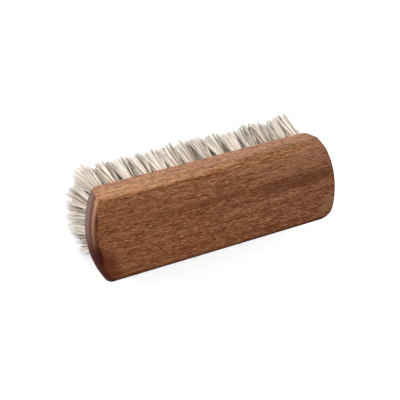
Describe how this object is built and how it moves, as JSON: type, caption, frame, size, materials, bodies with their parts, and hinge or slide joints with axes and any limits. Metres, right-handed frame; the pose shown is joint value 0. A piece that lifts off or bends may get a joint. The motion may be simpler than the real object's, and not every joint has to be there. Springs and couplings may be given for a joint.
{
  "type": "shoe polishing brush",
  "caption": "Hand brush for polishing shoes: a solid wooden block with sloped long sides and bowed ends, and staggered rows of horsehair tufts set in blind holes.",
  "frame": {"origin": "on the plane of the bristle tips, under the centre of the wooden block", "axes": "+Z out of the flat wooden back, away from the hair; +X along the block; +Y across it"},
  "size_m": [0.1647, 0.0748, 0.0375],
  "materials": {
    "stained_wood": "reddish-brown stain under satin varnish, with the grain along the block",
    "horsehair": "pale natural horsehair with a few grey hairs, matt to satin"
  },
  "bodies": {
    "root": {"wood_block": "stained_wood", "tuft_row_01": "horsehair", "tuft_row_02": "horsehair", "tuft_row_03": "horsehair", "tuft_row_04": "horsehair", "tuft_row_05": "horsehair", "tuft_row_06": "horsehair", "tuft_row_07": "horsehair", "tuft_row_08": "horsehair", "tuft_row_09": "horsehair", "tuft_row_10": "horsehair", "tuft_row_11": "horsehair", "tuft_row_12": "horsehair", "tuft_row_13": "horsehair", "tuft_row_14": "horsehair", "tuft_row_15": "horsehair", "tuft_row_16": "horsehair", "tuft_row_17": "horsehair", "tuft_row_18": "horsehair", "tuft_row_19": "horsehair", "tuft_row_20": "horsehair", "tuft_row_21": "horsehair", "tuft_row_22": "horsehair", "tuft_row_23": "horsehair", "tuft_row_24": "horsehair", "tuft_row_25": "horsehair", "tuft_row_26": "horsehair", "tuft_row_27": "horsehair", "tuft_row_28": "horsehair", "tuft_row_29": "horsehair"}
  },
  "joints": []
}
